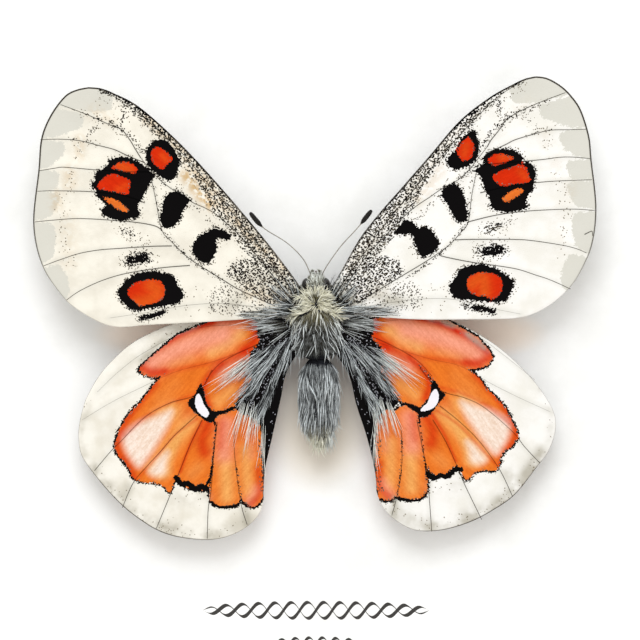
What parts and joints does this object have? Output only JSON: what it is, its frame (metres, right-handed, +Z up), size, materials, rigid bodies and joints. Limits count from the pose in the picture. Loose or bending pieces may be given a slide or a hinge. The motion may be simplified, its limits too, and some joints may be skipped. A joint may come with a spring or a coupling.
{
  "type": "spread butterfly specimen on mounting board",
  "caption": "Pale apollo butterfly with spread wings, dark spots and orange hindwing patches, pinned clear of a plain square white mounting board.",
  "frame": {"origin": "centre of the mounting board's underside", "axes": "+Z up out of the board, towards the upper side of the wings; +Y from the tail to the head; +X to the right"},
  "size_m": [0.1, 0.1, 0.0126],
  "materials": {
    "board": "matt white, softly mottled",
    "pin": "bright thin wire",
    "thorax_fur": "long dark grey hair with a cream collar",
    "head_fur": "short cream hair",
    "abdomen_fur": "silky blue-grey hair, cream at the tail",
    "forewing": "matt scales, black and red spots, grey glassy margin",
    "hindwing": "matt scales, orange patches with black edges, white margin",
    "eye": "dark and glossy",
    "antenna": "pale thin shaft and black club",
    "mouthpart": "dark horn",
    "leg": "scaly grey-brown"
  },
  "bodies": {
    "root": {"mounting_board": "board", "mounting_pin": "pin", "thorax": "thorax_fur", "head": "head_fur", "abdomen": "abdomen_fur", "tongue": "mouthpart", "forewing_left": "forewing", "forewing_right": "forewing", "hindwing_left": "hindwing", "hindwing_right": "hindwing", "eye_left": "eye", "eye_right": "eye", "antenna_left": "antenna", "antenna_right": "antenna", "palp_left": "head_fur", "palp_right": "head_fur", "front_leg_left": "leg", "front_leg_right": "leg", "middle_leg_left": "leg", "middle_leg_right": "leg", "hind_leg_left": "leg", "hind_leg_right": "leg"}
  },
  "joints": []
}
